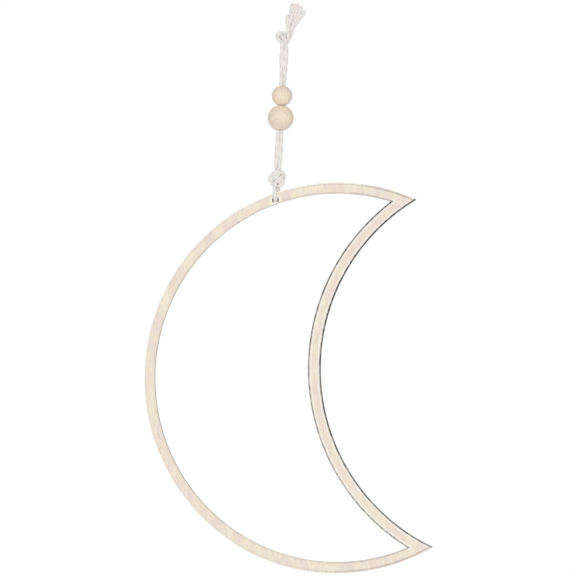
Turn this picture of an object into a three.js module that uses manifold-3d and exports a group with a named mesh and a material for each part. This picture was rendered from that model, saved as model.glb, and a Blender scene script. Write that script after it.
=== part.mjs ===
// A crescent moon wall hanging: an open crescent cut from 3 mm plywood, hung on a doubled cotton cord
// that carries two round wooden beads between a lower and an upper overhand knot.
// Units are millimetres. X is to the right, Y goes into the wall and Z is up.
// The origin is where the nail sits, between the two strands and right under the upper knot.
import * as THREE from "three";
import { mergeVertices } from "three/addons/utils/BufferGeometryUtils.js";
import Module from "manifold-3d";

const wasm = await Module();
wasm.setup();

// Crescent: what is left of a disc after a second circle bites into it
const discRadius = 150;
const biteRadius = 150;
const biteOffset = 139;
const crescentTurn = 2.65; // degrees, horns rising to the right
const rimWidth = 8.5; // band along the disc's edge
const bowWidth = 9.6; // band along the bite
const chordLength = 5; // facets of the large arcs

// Plywood: a core between two face veneers
const coreThickness = 1.5;
const veneerThickness = 0.75;

// Cord hole in the rim
const holeDrop = 118.6; // hole's centre down the cord from the nail
const holeClearance = 0.7; // round the cord
const holeWall = 0.9; // wood between the hole and the band's inner edge
const holeAngle = 108.6; // degrees round the disc from +X
const holeSides = 24;

// Cotton cord
const cordRadius = 1.4;
const cordGap = 0.1; // between cords side by side and in a knot
const jointGap = 0.3; // between stretches of cord that meet, and to the board
const cordSides = 8;
const cordLean = 3.4; // degrees from plumb, foot to the left

// Beads
const largeBeadRadius = 10;
const smallBeadRadius = 8;
const boreClearance = 0.15; // round the pair of strands
const beadGap = 0.6;
const largeBeadDrop = 54.8; // from the nail down the cord
const mouthRound = 0.4; // edge of a bead's bore
const beadSides = 40;
const beadRings = 18;

// Knots: two strands tied together in one overhand knot and pulled tight
const looseScale = 3.4; // size of the loose knot, per unit of its formula
const looseDepth = 4; // how far it rises at its crossings
const looseShift = 0.4; // its centre from the cord's line, in the same units
const knotPoints = 90; // on each strand
const knotRounds = 1500;
const knotWindow = 1.5; // cord nearer along itself than this many cords is not pushed apart
const heldPoints = 3; // at both ends of a strand
const knotPull = 0.3; // share of a point's way to its neighbours' middle in the first round
const knotHold = 2.5; // straight cord at a knot's held ends
const knotAboveRim = 10.9; // lower knot's centre above the moon's edge
const loopAboveRim = 1.5; // where the strands leave the lower knot
const loopSpread = 0.9; // each of them to its side of the cord's line there
const knotRise = 10.2; // upper knot's centre above the nail
const knotAside = 1.5; // and to the left of the cord's line

const degrees = Math.PI / 180;
const strandSpacing = 2 * cordRadius + cordGap; // least distance kept between cord centres
const holeRadius = cordRadius + holeClearance;
const holeInset = rimWidth - holeWall - holeRadius; // hole's centre to the disc's edge
const knotDrop = holeDrop - holeInset - knotAboveRim;
const boreRadius = strandSpacing / 2 + cordRadius + boreClearance;
const boardThickness = coreThickness + 2 * veneerThickness;

const wood = new THREE.MeshStandardMaterial({ color: 0xebe2d6, roughness: 0.75, metalness: 0 });
const woodCore = new THREE.MeshStandardMaterial({ color: 0x9a8468, roughness: 0.85, metalness: 0 });
const beadWood = new THREE.MeshStandardMaterial({ color: 0xf0e1cd, roughness: 0.6, metalness: 0 });
const cotton = new THREE.MeshStandardMaterial({ color: 0xe9e6e1, roughness: 0.95, metalness: 0 });

const group = new THREE.Group();
function addPiece(name, geometry, material, parent = group) {
  const mesh = new THREE.Mesh(geometry, material);
  mesh.name = name;
  parent.add(mesh);
  return mesh;
}

// The cord's own line, which leans from the nail down to the crescent.
const down = new THREE.Vector3(-Math.sin(cordLean * degrees), 0, -Math.cos(cordLean * degrees));
const across = new THREE.Vector3(Math.cos(cordLean * degrees), 0, -Math.sin(cordLean * degrees));
const depth = new THREE.Vector3(0, 1, 0);
const onCord = (drop, side = 0, back = 0) =>
  new THREE.Vector3()
    .addScaledVector(down, drop)
    .addScaledVector(across, side)
    .addScaledVector(depth, back);

// Crescent

// The cord holds the moon at its hole, so the disc's centre is placed from there.
const holePoint = onCord(holeDrop);
const holeCentre = new THREE.Vector2(holePoint.x, holePoint.z);
const discCentre = new THREE.Vector2(holeInset - discRadius, 0)
  .rotateAround(new THREE.Vector2(), holeAngle * degrees)
  .add(holeCentre);

// Points of an arc round a centre, facet by facet, without its last point.
function arcPoints(centre, radius, from, to) {
  const facets = Math.ceil((Math.abs(to - from) * radius) / chordLength);
  return Array.from({ length: facets }, (_, i) => {
    const angle = from + ((to - from) * i) / facets;
    return new THREE.Vector2(
      centre.x + radius * Math.cos(angle),
      centre.y + radius * Math.sin(angle),
    );
  });
}

// Outline between a disc's edge and a bite's edge: the long way round the disc, then back along the bite.
function crescentOutline(disc, bite) {
  const turn = crescentTurn * degrees;
  const discHalf = Math.acos(
    (biteOffset ** 2 + disc ** 2 - bite ** 2) / (2 * biteOffset * disc),
  );
  const biteHalf = Math.acos(
    (biteOffset ** 2 + bite ** 2 - disc ** 2) / (2 * biteOffset * bite),
  );
  const biteCentre = new THREE.Vector2(biteOffset, 0).rotateAround(new THREE.Vector2(), turn).add(discCentre);
  return [
    ...arcPoints(discCentre, disc, turn + discHalf, turn + 2 * Math.PI - discHalf),
    ...arcPoints(biteCentre, bite, turn + Math.PI + biteHalf, turn + Math.PI - biteHalf),
  ];
}

function crescentShape() {
  const shape = new THREE.Shape(crescentOutline(discRadius, biteRadius));
  shape.holes.push(new THREE.Path(crescentOutline(discRadius - rimWidth, biteRadius + bowWidth)));
  const hole = Array.from({ length: holeSides }, (_, i) =>
    new THREE.Vector2(holeRadius, 0)
      .rotateAround(new THREE.Vector2(), (2 * Math.PI * i) / holeSides)
      .add(holeCentre),
  );
  shape.holes.push(new THREE.Path(hole));
  return shape;
}

// One ply of the board, standing in the XZ plane, from its front face's depth backwards.
function ply(front, thickness) {
  const geometry = new THREE.ExtrudeGeometry(crescentShape(), {
    depth: thickness,
    bevelEnabled: false,
  });
  geometry.rotateX(Math.PI / 2);
  geometry.translate(0, front + thickness, 0);
  return geometry;
}

addPiece("moon_front_ply", ply(-boardThickness / 2, veneerThickness), wood);
addPiece("moon_core_ply", ply(-coreThickness / 2, coreThickness), woodCore);
addPiece("moon_back_ply", ply(coreThickness / 2, veneerThickness), wood);

// Cord: lines of points

// Length of a line of points up to each of them.
function lengthsAlong(line) {
  const along = [0];
  for (let i = 1; i < line.length; i++) {
    along.push(along[i - 1] + line[i].distanceTo(line[i - 1]));
  }
  return along;
}

// Points at even steps along a line of points.
function evenly(line, count) {
  const along = lengthsAlong(line);
  const points = [];
  for (let k = 0, i = 1; k < count; k++) {
    const want = (along.at(-1) * k) / (count - 1);
    while (i < line.length - 1 && along[i] < want) i++;
    const share = (want - along[i - 1]) / (along[i] - along[i - 1]);
    points.push(line[i - 1].clone().lerp(line[i], share));
  }
  return points;
}

// The two strands between the knots: drop below the nail, the pair's step to the right, spread of
// their centres, and turn of the pair. They part round the nail and lie side by side in the beads.
const pairRoute = [
  [2.5, -0.2, 3.3, 0],
  [6, -0.3, 3.5, 0],
  [10, -0.3, 3.6, 4],
  [14, -0.1, 3.4, 10],
  [18, 0, 3.1, 18],
  [24, 0, strandSpacing, 34],
  [34, 0, strandSpacing, 50],
  [46, 0, strandSpacing, 45],
  [65, 0, strandSpacing, 38],
  [70, 0, strandSpacing, 28],
  [78, 0, 3.1, 8],
  [83, 0, 3.1, 0],
  [87.5, 0, 3, -10],
  [91.5, 0, strandSpacing, -24],
];
function strandStretch(side) {
  return pairRoute.map(([drop, aside, spread, turn]) => {
    const reach = (side * spread) / 2;
    return onCord(
      drop,
      aside + reach * Math.cos(turn * degrees),
      reach * Math.sin(turn * degrees),
    );
  });
}

// A loose overhand knot from one point to another. The formula is the three-lobed knot
// (sin t + 2 sin 2t, cos t - 2 cos 2t, sin 3t), opened at one lobe, with its ends drawn out.
function looseKnot(start, end, centre, side) {
  const openFrom = 215;
  const openTo = 505;
  const samples = 60;
  const at = (t) => {
    const lobe = Math.cos(t) - 2 * Math.cos(2 * t) - looseShift;
    return new THREE.Vector3(
      lobe * looseScale,
      -Math.sin(3 * t) * looseDepth,
      (Math.sin(t) + 2 * Math.sin(2 * t)) * looseScale,
    );
  };
  const middle = Array.from({ length: samples }, (_, i) => {
    const t = (openFrom + ((openTo - openFrom) * i) / (samples - 1)) * degrees;
    const step = 0.01;
    const slope = at(t + step).sub(at(t - step));
    const outward = new THREE.Vector3(slope.z, 0, -slope.x).normalize();
    return at(t).addScaledVector(outward, side * strandSpacing / 2).add(centre);
  });
  return evenly([...start, ...middle, ...end], knotPoints);
}

// Pulls the strands of a knot tight. In each round every point moves towards the middle of its
// neighbours, as under tension, and points of cord that come nearer than the cord's reach push apart.
function pullTight(strands) {
  const points = strands.flat();
  const last = knotPoints - 1;
  const held = (i) => i % knotPoints < heldPoints || i % knotPoints > last - heldPoints;
  let apart = 0;
  for (let round = 0; round < knotRounds; round++) {
    if (round % 10 === 0) {
      strands.forEach((_, s) => {
        const first = s * knotPoints + heldPoints - 1;
        const count = knotPoints - 2 * heldPoints + 2;
        evenly(points.slice(first, first + count), count).forEach((p, i) => {
          if (i > 0 && i < count - 1) points[first + i] = p;
        });
      });
      const length = lengthsAlong(points.slice(0, knotPoints)).at(-1);
      apart = Math.ceil((knotWindow * strandSpacing) / (length / last));
    }
    const pull = knotPull * (1 - round / knotRounds);
    const tensed = points.map((p, i) =>
      held(i)
        ? p
        : p.clone().lerp(points[i - 1].clone().add(points[i + 1]).multiplyScalar(0.5), pull),
    );
    const moves = tensed.map(() => new THREE.Vector3());
    const between = new THREE.Vector3();
    for (let i = 0; i < tensed.length; i++) {
      for (let j = i + 1; j < tensed.length; j++) {
        const oneStrand = Math.floor(i / knotPoints) === Math.floor(j / knotPoints);
        if (oneStrand && j - i <= apart) continue;
        between.subVectors(tensed[i], tensed[j]);
        const distance = between.length();
        if (distance >= strandSpacing) continue;
        const push = (strandSpacing - distance) / (4 * distance);
        moves[i].addScaledVector(between, push);
        moves[j].addScaledVector(between, -push);
      }
    }
    tensed.forEach((p, i) => {
      points[i] = held(i) ? p : p.add(moves[i]);
    });
  }
  return strands.map((_, s) => points.slice(s * knotPoints, (s + 1) * knotPoints));
}

// The least distance between two lines of points, or of one line to itself past its own bends.
function leastDistance(a, b) {
  let least = Infinity;
  const along = lengthsAlong(a);
  a.forEach((p, i) =>
    b.forEach((q, j) => {
      if (a === b && Math.abs(along[i] - along[j]) < (knotWindow + 0.1) * strandSpacing) return;
      least = Math.min(least, p.distanceTo(q));
    }),
  );
  return least;
}

const sides = [-1, 1];
const stretches = sides.map(strandStretch);

// Lower knot: the strands come in from above and leave one before and one behind the crescent.
const seatRadius = cordRadius + jointGap; // cord's centre from the board's faces and edges
const loopDepth = boardThickness / 2 + seatRadius;
const loopTop = holeDrop - holeInset - loopAboveRim;
const lowerCentre = onCord(knotDrop);
const lowerKnot = pullTight(
  sides.map((side, s) => {
    const top = stretches[s].at(-1);
    const foot = onCord(loopTop, side * loopSpread, side * loopDepth);
    return looseKnot(
      [top, top.clone().addScaledVector(down, knotHold)],
      [foot.clone().addScaledVector(down, -knotHold), foot],
      lowerCentre,
      side,
    );
  }),
);

// Upper knot: its ends leave at the top, one upright and one leaning to the right.
const cordEnds = [
  { x: 2.75, z: 16.6, lean: -2 },
  { x: 6.75, z: 16.4, lean: 20 },
].map(({ x, z, lean }) => ({
  root: new THREE.Vector3(x, 0, z),
  upwards: new THREE.Vector3(Math.sin(lean * degrees), 0, Math.cos(lean * degrees)),
}));
const upperCentre = onCord(-knotRise, -knotAside);
const upperKnot = pullTight(
  sides.map((side, s) => {
    const foot = stretches[s][0];
    const { root, upwards } = cordEnds[s];
    return looseKnot(
      [root, root.clone().addScaledVector(upwards, -knotHold)],
      [foot.clone().addScaledVector(down, -knotHold), foot],
      upperCentre,
      side,
    );
  }),
);

const leastGap = ([a, b]) =>
  Math.min(leastDistance(a, b), leastDistance(a, a), leastDistance(b, b)) - 2 * cordRadius;
console.log(
  "least gap of the cord to itself, mm: lower knot " +
    leastGap(lowerKnot).toFixed(2) +
    ", upper knot " +
    leastGap(upperKnot).toFixed(2),
);

// Cord: solids

// A tube of flats along a line of points, with a flat end at both ends. Its frame turns as little as it can.
function tube(line, radius, tubeSides = cordSides) {
  const count = line.length;
  const slopes = line.map((_, i) =>
    line[Math.min(i + 1, count - 1)].clone().sub(line[Math.max(i - 1, 0)]).normalize(),
  );
  const normal = new THREE.Vector3(0, 1, 0).cross(slopes[0]);
  if (normal.length() < 0.1) normal.set(1, 0, 0);
  normal.normalize();
  const positions = [];
  slopes.forEach((slope, i) => {
    normal.addScaledVector(slope, -normal.dot(slope)).normalize();
    const other = slope.clone().cross(normal);
    const r = typeof radius === "function" ? radius(i / (count - 1)) : radius;
    for (let k = 0; k < tubeSides; k++) {
      const angle = (2 * Math.PI * k) / tubeSides;
      const p = line[i]
        .clone()
        .addScaledVector(normal, r * Math.cos(angle))
        .addScaledVector(other, r * Math.sin(angle));
      positions.push(p.x, p.y, p.z);
    }
  });
  line.forEach((p, i) => {
    if (i === 0 || i === count - 1) positions.push(p.x, p.y, p.z);
  });
  const startCentre = count * tubeSides;
  const index = [];
  for (let k = 0; k < tubeSides; k++) {
    const next = (k + 1) % tubeSides;
    for (let i = 0; i < count - 1; i++) {
      const a = i * tubeSides + k;
      const b = i * tubeSides + next;
      index.push(a, b, b + tubeSides, a, b + tubeSides, a + tubeSides);
    }
    index.push(startCentre, next, k);
    index.push(startCentre + 1, (count - 1) * tubeSides + k, (count - 1) * tubeSides + next);
  }
  const geometry = new THREE.BufferGeometry();
  geometry.setAttribute("position", new THREE.Float32BufferAttribute(positions, 3));
  geometry.setIndex(index);
  geometry.computeVertexNormals();
  return geometry;
}

// Leaves out the stretch of a line within a distance of its first point.
function cutStart(line, distance) {
  const fine = evenly(line, 400);
  return fine.filter((p) => p.distanceTo(fine[0]) >= distance);
}

const curveThrough = (points, count) =>
  new THREE.CatmullRomCurve3(points, false, "centripetal").getSpacedPoints(count);

const strandSteps = 30;
["strand_left", "strand_right"].forEach((name, s) => {
  addPiece(name, tube(curveThrough(stretches[s], strandSteps), cordRadius), cotton);
});

const knotSteps = 44;
["top_knot_left", "top_knot_right"].forEach((name, s) => {
  const line = cutStart([...upperKnot[s]].reverse(), jointGap);
  addPiece(name, tube(evenly(line, knotSteps), cordRadius), cotton);
});

// Lower knot and the loop through the hole, as one unbroken stretch of cord. The loop comes down in front
// of the board, goes round the upper edge of the hole and up behind, and draws together as it goes down.
const holeTop = onCord(holeDrop).z + holeRadius;
const loopFootRise = onCord(loopTop).z - holeTop + seatRadius;
const cornerBends = [0, 30, 60, 90];
const legRise = 1.5; // straight part of a leg over the bend
const frontLeg = [
  [loopDepth, seatRadius + legRise],
  ...cornerBends.map((bend) => [
    boardThickness / 2 + seatRadius * Math.cos(bend * degrees),
    seatRadius * (1 - Math.sin(bend * degrees)),
  ]),
];
const legPoints = (side) =>
  frontLeg.map(([out, rise]) => {
    const spread = (side * loopSpread * rise) / loopFootRise;
    return new THREE.Vector3(holeCentre.x + spread, side * out, holeTop - seatRadius + rise);
  });
const loopSteps = 16;
const loop = curveThrough(
  [lowerKnot[0].at(-1), ...legPoints(-1), ...legPoints(1).reverse(), lowerKnot[1].at(-1)],
  loopSteps,
);
const loopedLine = [
  ...evenly(cutStart(lowerKnot[0], jointGap), knotSteps),
  ...loop.slice(1, -1),
  ...evenly(cutStart(lowerKnot[1], jointGap), knotSteps).reverse(),
];
addPiece("lower_knot", tube(loopedLine, cordRadius), cotton);

// Frayed cord ends: each end has come unlaid into its three plies, which puff up soon after it.
const plyRadius = 0.7;
const plyPuffed = 1.05;
const plyPuffing = 8; // how fast, over the whole ply
const plyStub = 1; // straight ply at its root
const plySides = 6;
const plySteps = 9;
const solidOf = (geometry) => {
  geometry.deleteAttribute("normal");
  const merged = mergeVertices(geometry, 1e-4);
  return new wasm.Manifold(
    new wasm.Mesh({
      numProp: 3,
      vertProperties: new Float32Array(merged.attributes.position.array),
      triVerts: new Uint32Array(merged.index.array),
    }),
  );
};
const geometryOf = (solid) => {
  const mesh = solid.getMesh();
  const geometry = new THREE.BufferGeometry();
  geometry.setAttribute("position", new THREE.BufferAttribute(mesh.vertProperties, 3));
  geometry.setIndex(new THREE.BufferAttribute(mesh.triVerts, 1));
  geometry.computeVertexNormals();
  return geometry;
};
function frayedEnd({ root, upwards }, plies) {
  const radius = (share) => plyPuffed + (plyRadius - plyPuffed) * Math.exp(-plyPuffing * share);
  return geometryOf(
    plies
      .map(({ side, way }) => {
        const start = root
          .clone()
          .addScaledVector(upwards, jointGap)
          .add(new THREE.Vector3(side[0], side[1], 0));
        const line = [
          start,
          start.clone().addScaledVector(upwards, plyStub),
          ...way.map((place) => new THREE.Vector3(...place)),
        ];
        return solidOf(tube(curveThrough(line, plySteps), radius, plySides));
      })
      .reduce((whole, next) => whole.add(next)),
  );
}
// Each ply's side of the cord, and places on its way from the nail: to the right, behind and up.
const leftPlies = [
  { side: [0, -0.5], way: [[3.9, -0.9, 20], [6.2, -0.9, 25], [7.8, -0.5, 30], [8.3, -0.2, 33.8]] },
  { side: [0.4, 0.35], way: [[3.4, 0.6, 20], [4.6, 0.5, 24.5], [5.5, 0.2, 29.5], [5.8, 0, 34]] },
  { side: [-0.4, 0.35], way: [[2.1, -0.3, 19], [2.2, -0.4, 21.5], [2.5, -0.3, 25]] },
];
const rightPlies = [
  { side: [0, -0.5], way: [[7.8, -0.8, 19], [9.9, -0.8, 23], [11.8, -0.5, 27.5], [13, -0.2, 31.4]] },
  { side: [0.4, 0.35], way: [[8.4, 0.4, 18.2], [10.4, 0.4, 20.6], [12.8, 0.3, 24], [16, 0, 28.2]] },
  { side: [-0.4, 0.35], way: [[6.7, 0.6, 19.5], [8, 0.8, 23.5], [9.5, 0.4, 28.5], [10.6, 0.1, 33.4]] },
];
addPiece("cord_end_left", frayedEnd(cordEnds[0], leftPlies), cotton);
addPiece("cord_end_right", frayedEnd(cordEnds[1], rightPlies), cotton);

// Beads

// A turned ball with a bore, round its own Z axis. The edges of the bore are eased.
function bead(radius) {
  const mouthRadius = boreRadius + mouthRound;
  const mouthAngle = Math.acos(mouthRadius / radius);
  const height = radius * Math.sin(mouthAngle);
  const profile = [new THREE.Vector2(boreRadius, -height + mouthRound)];
  for (let i = 0; i <= beadRings; i++) {
    const angle = -mouthAngle + (2 * mouthAngle * i) / beadRings;
    profile.push(new THREE.Vector2(radius * Math.cos(angle), radius * Math.sin(angle)));
  }
  profile.push(new THREE.Vector2(boreRadius, height - mouthRound));
  profile.push(profile[0].clone());
  const geometry = new THREE.LatheGeometry(profile, beadSides);
  geometry.rotateX(Math.PI / 2);
  return geometry;
}
const beadHeight = (radius) => Math.sqrt(radius ** 2 - (boreRadius + mouthRound) ** 2);
const smallBeadDrop =
  largeBeadDrop - beadHeight(largeBeadRadius) - beadHeight(smallBeadRadius) - beadGap;
[
  ["large_bead", largeBeadRadius, largeBeadDrop],
  ["small_bead", smallBeadRadius, smallBeadDrop],
].forEach(([name, radius, drop]) => {
  const piece = addPiece(name, bead(radius), beadWood);
  piece.position.copy(onCord(drop));
  piece.rotation.y = cordLean * degrees;
});

export default group;
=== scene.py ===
# %% [markdown]
# # A crescent moon wall hanging
# An open crescent, cut by a laser from thin plywood, hangs on a doubled cotton cord. The cord goes
# through a hole in the moon's rim, is tied in an overhand knot just above it, carries a large and a
# small wooden bead, and is tied again over the nail, where its two ends fray.
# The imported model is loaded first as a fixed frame. It gives the real size and the bodies that move.
# All pieces below are worked out with numpy in millimetres. One function makes their meshes from
# that and turns them into metres.

# %% Load the frame
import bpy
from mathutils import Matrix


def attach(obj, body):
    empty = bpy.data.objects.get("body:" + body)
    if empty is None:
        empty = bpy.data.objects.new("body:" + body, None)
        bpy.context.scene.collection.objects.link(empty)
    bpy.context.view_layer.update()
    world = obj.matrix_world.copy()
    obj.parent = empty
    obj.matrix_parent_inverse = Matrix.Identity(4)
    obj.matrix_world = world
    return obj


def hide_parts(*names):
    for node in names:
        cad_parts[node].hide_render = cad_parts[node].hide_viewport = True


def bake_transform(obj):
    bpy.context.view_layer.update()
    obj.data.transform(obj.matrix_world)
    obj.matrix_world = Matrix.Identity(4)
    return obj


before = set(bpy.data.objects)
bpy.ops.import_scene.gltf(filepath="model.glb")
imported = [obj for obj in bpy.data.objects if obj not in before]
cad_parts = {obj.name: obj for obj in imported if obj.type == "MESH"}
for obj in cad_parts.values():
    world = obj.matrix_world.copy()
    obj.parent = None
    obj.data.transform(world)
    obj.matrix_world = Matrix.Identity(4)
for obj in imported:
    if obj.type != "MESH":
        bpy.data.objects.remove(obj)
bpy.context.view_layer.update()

import math

import bpy
import numpy as np
from mathutils import Vector

MM = 0.001

# %% [markdown]
# ## The camera
# The picture was taken with a long lens, a little from the right and a little from below: the cut
# edges that face right and down show, and the horns hardly change size. A camera is placed by the
# point that it looks at, its bearing round that point and its distance, so each can be read.

# %% Place the camera
LOOK_AT = (2.52, 0.0, -186.42)
BEARING = 10.2
RISE = -2.5
DISTANCE = 2314.0

def towards(bearing, rise):
    """The direction from the object to a viewer: bearing turns to the right of -Y, rise goes up."""
    a, e = math.radians(bearing), math.radians(rise)
    return Vector((math.sin(a) * math.cos(e), -math.cos(a) * math.cos(e), math.sin(e)))

def placed(name, data):
    """A new object with this data, at the origin and in the scene."""
    thing = bpy.data.objects.new(name, data)
    bpy.context.scene.collection.objects.link(thing)
    return thing

camera = placed("camera", bpy.data.cameras.new("camera"))
bpy.context.scene.camera = camera
camera.data.lens = 187.5
camera.data.sensor_width = 36.0
back = towards(BEARING, RISE)
camera.location = (Vector(LOOK_AT) + back * DISTANCE) * MM
camera.rotation_euler = back.to_track_quat("Z", "Y").to_euler()
camera.data.clip_start, camera.data.clip_end = 0.05, 50.0
print("camera stands at", np.round(camera.location, 3).tolist())

# %% [markdown]
# ## Lines of points
# A cord is drawn along a line of points. Two helpers do the work: one spaces points evenly on a
# line, and one draws a smooth curve through a few points. The curve is a cubic in each span, whose
# slope at a point leans on the points before and after it, so it bends without corners.

# %% Helpers for lines
FINE_STEPS = 12

def evenly(line, count):
    """Points at even steps: the length so far is worked out at each point and read backwards."""
    along = np.concatenate([[0.0], np.cumsum(np.linalg.norm(np.diff(line, axis=0), axis=1))])
    steps = np.linspace(0.0, along[-1], count)
    return np.stack([np.interp(steps, along, line[:, k]) for k in range(3)], axis=1)

def length_of(line):
    return float(np.linalg.norm(np.diff(line, axis=0), axis=1).sum())

def curve_through(points, step):
    """A smooth line through the points, with points about a step apart.
    Knots lie the square root of a chord apart. A slope is the chord before plus the chord after,
    less the chord over both, each for its share of the knots. A cubic then joins the slopes."""
    points = np.asarray(points, float)
    chords = np.linalg.norm(np.diff(points, axis=0), axis=1)
    knots = np.concatenate([[0.0], np.cumsum(np.sqrt(chords))])
    span = np.diff(knots)[:, None]
    rate = np.diff(points, axis=0) / span
    over = (points[2:] - points[:-2]) / (span[1:] + span[:-1])
    slope = np.concatenate([rate[:1], rate[:-1] + rate[1:] - over, rate[-1:]])
    where = np.linspace(0.0, knots[-1], FINE_STEPS * len(points))
    i = np.clip(np.searchsorted(knots, where, side="right") - 1, 0, len(points) - 2)
    t = ((where - knots[i]) / span[i, 0])[:, None]
    fine = (
        points[i] * (2 * t**3 - 3 * t**2 + 1)
        + points[i + 1] * (3 * t**2 - 2 * t**3)
        + slope[i] * span[i] * (t**3 - 2 * t**2 + t)
        + slope[i + 1] * span[i] * (t**3 - t**2)
    )
    return evenly(fine, round(length_of(fine) / step) + 1)

# %% [markdown]
# ## Where the cord runs
# The nail is at the origin. The pair of strands leans a little to the left as it goes down, so a
# place on it is a drop below the nail, a step to the side and a step back. The strands part round
# the nail, turn about each other as limp cord does, and go side by side through the beads.

# %% The cord's own line and the two strands
CORD_RADIUS = 1.5
STRAND_SPACING = 2.85
CORD_LEAN = math.radians(3.4)
HOLE_DROP = 118.6
KNOT_DROP = 102.2
LOOP_TOP = 111.6

down = np.array([-math.sin(CORD_LEAN), 0.0, -math.cos(CORD_LEAN)])
across = np.array([math.cos(CORD_LEAN), 0.0, -math.sin(CORD_LEAN)])
depth = np.array([0.0, 1.0, 0.0])

def on_cord(drop, side=0.0, behind=0.0):
    """A point: the drop along the cord's line, a step across it and a step into the wall."""
    drop, side, behind = (np.asarray(v, float)[..., None] for v in (drop, side, behind))
    return drop * down + side * across + behind * depth

# Drop below the nail, the pair's step aside, spread of its two centres and its turn in degrees.
PAIR_ROUTE = np.array([
    [2.5, -0.2, 3.3, 0.0],
    [6.0, -0.3, 3.5, 0.0],
    [10.0, -0.3, 3.6, 4.0],
    [14.0, -0.1, 3.3, 10.0],
    [18.0, 0.0, 3.0, 22.0],
    [24.0, 0.0, STRAND_SPACING, 38.0],
    [34.0, 0.0, STRAND_SPACING, 50.0],
    [46.0, 0.0, STRAND_SPACING, 45.0],
    [65.0, 0.0, STRAND_SPACING, 38.0],
    [70.0, 0.0, STRAND_SPACING, 28.0],
    [78.0, 0.0, 3.2, 8.0],
    [83.0, 0.0, 3.2, 0.0],
    [87.5, 0.0, 3.1, -10.0],
    [91.5, 0.1, STRAND_SPACING, -24.0],
])

def strand(side):
    """The side is -1 for the left strand and 1 for the right one. A turned pair's strands lie half
    the spread from the middle, by the turn's cosine to the side and by its sine behind."""
    drop, aside, spread, turn = PAIR_ROUTE.T
    reach, turn = side * spread / 2, np.radians(turn)
    return on_cord(drop, aside + reach * np.cos(turn), reach * np.sin(turn))

SIDES = (-1, 1)
strands = [strand(side) for side in SIDES]
print("strands run", round(length_of(strands[0]), 1), "mm between the knots")

# %% [markdown]
# ## Knots, tied and pulled tight
# A knot modelled as a lump never looks right, and one drawn by hand takes days. Here the cord is
# tied by a formula as a loose, open overhand knot, two strands side by side, and then pulled tight
# in small rounds: every point moves towards the middle of its neighbours, as a taut cord does, and
# points that come nearer than about a cord's thickness push each other away. The knot finds its own
# form.

# %% A loose knot, and how it is pulled tight
KNOT_POINTS = 90
KNOT_ROUNDS = 1500
KNOT_PULL = 0.3
KNOT_WINDOW = 1.5
EVEN_EVERY = 10
LOWER_REACH = 2.75
UPPER_REACH = 3.1
HELD = 3
STUB = 2.5
LOOSE_SCALE = 3.4
LOOSE_DEPTH = 4.0
LOOSE_SHIFT = 0.4
LOOSE_TURN = (215.0, 505.0)
LOOSE_POINTS = 60

def loose_knot(start, end, centre, side):
    """An open overhand knot from the line's start to its end. With t running round, it is
    (cos t - 2 cos 2t, -sin 3t, sin t + 2 sin 2t), the three-lobed knot, cut open at one lobe. Each
    strand is moved to its side of the line, square to the way that it runs as seen from in front."""
    t = np.radians(np.linspace(*LOOSE_TURN, LOOSE_POINTS))
    lobe = np.cos(t) - 2 * np.cos(2 * t) - LOOSE_SHIFT
    rise = np.sin(t) + 2 * np.sin(2 * t)
    line = np.stack([lobe * LOOSE_SCALE, -np.sin(3 * t) * LOOSE_DEPTH, rise * LOOSE_SCALE], axis=1)
    slope = np.gradient(line, axis=0)
    outward = np.stack([slope[:, 2], np.zeros(len(t)), -slope[:, 0]], axis=1)
    outward /= np.linalg.norm(outward, axis=1, keepdims=True)
    middle = line + outward * side * STRAND_SPACING / 2 + centre
    return evenly(np.concatenate([start, middle, end]), KNOT_POINTS)

def pull_tight(loose, reach):
    """Rounds of tension and contact on both strands at once, with three points held at each end.
    Points of cord nearer than the reach push apart, but not those that are nearer than the window,
    in reaches, along the same strand. The pull fades to nothing over the rounds, so that contact has
    the last word."""
    points = np.stack(loose)
    count = points.shape[0] * KNOT_POINTS
    which, place = np.divmod(np.arange(count), KNOT_POINTS)
    free = (place >= HELD) & (place < KNOT_POINTS - HELD)
    for turn in range(KNOT_ROUNDS):
        if turn % EVEN_EVERY == 0:
            for line in points:
                inner = slice(HELD - 1, KNOT_POINTS - HELD + 1)
                line[inner] = evenly(line[inner], KNOT_POINTS - 2 * HELD + 2)
            apart = math.ceil(KNOT_WINDOW * reach * (KNOT_POINTS - 1) / length_of(points[0]))
            meets = (which[:, None] != which) | (abs(place[:, None] - place) > apart)
        pull = KNOT_PULL * (1 - turn / KNOT_ROUNDS)
        middles = (points[:, :-2] + points[:, 2:]) / 2
        tensed = points.copy()
        tensed[:, 1:-1] += pull * (middles - points[:, 1:-1])
        flat = np.where(free[:, None], tensed.reshape(-1, 3), points.reshape(-1, 3))
        between = flat[:, None] - flat
        distance = np.sqrt((between**2).sum(axis=2)) + 1e-9
        push = np.where(meets, np.clip(reach - distance, 0.0, None), 0.0) / (4 * distance)
        moved = flat + np.where(free[:, None], (push[..., None] * between).sum(axis=1), 0.0)
        points = moved.reshape(points.shape)
    return points

# %% Tie the lower knot and the upper knot
BOARD_THICKNESS = 3.0
SEAT_GAP = 0.3
SEAT_RADIUS = CORD_RADIUS + SEAT_GAP
LOOP_DEPTH = BOARD_THICKNESS / 2 + SEAT_RADIUS
LOOP_SPREAD = 0.9
UPPER_KNOT = on_cord(-9.0, -2.0)
# Where each end leaves the upper knot: across, up, and its lean to the right in degrees.
CORD_ENDS = ((3.0, 16.4, 2.0), (6.5, 16.2, 20.0))

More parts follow.
